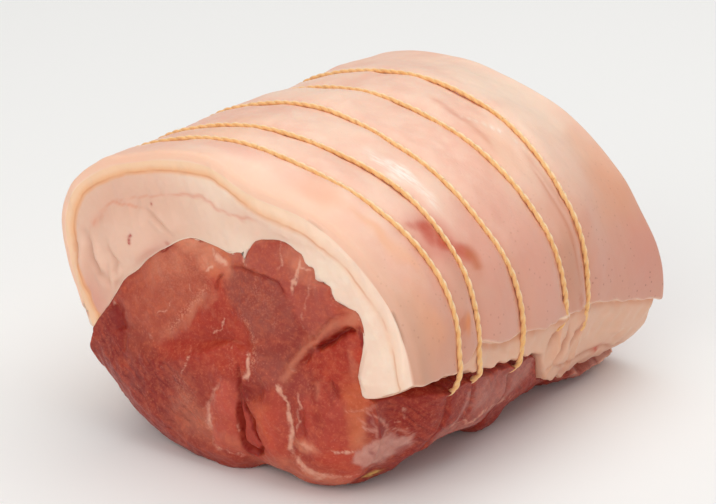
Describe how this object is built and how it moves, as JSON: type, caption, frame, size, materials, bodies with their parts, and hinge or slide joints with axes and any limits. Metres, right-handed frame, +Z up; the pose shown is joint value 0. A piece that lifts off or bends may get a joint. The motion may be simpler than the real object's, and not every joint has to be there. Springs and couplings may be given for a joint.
{
  "type": "pork loin joint",
  "caption": "Raw boneless pork loin joint: a cap of fat and rind rolled over the lean and tied round with loops of twine, cut square at both ends.",
  "frame": {"origin": "middle of the footprint, on the surface that the joint stands on", "axes": "+Y along the joint away from the shown cut face, +Z up through the rind, +X to the right seen from the cut face"},
  "size_m": [0.162, 0.18, 0.1147],
  "materials": {
    "fat_and_rind": "pale pink, slightly moist rind over creamy fat",
    "lean": "moist raw lean, red to brownish pink, with white seams of fat",
    "twine": "undyed two-ply twine"
  },
  "bodies": {
    "root": {"fat_cap": "fat_and_rind", "lean": "lean", "twine_1": "twine", "twine_2": "twine", "twine_3": "twine", "twine_4": "twine", "twine_5": "twine"}
  },
  "joints": []
}
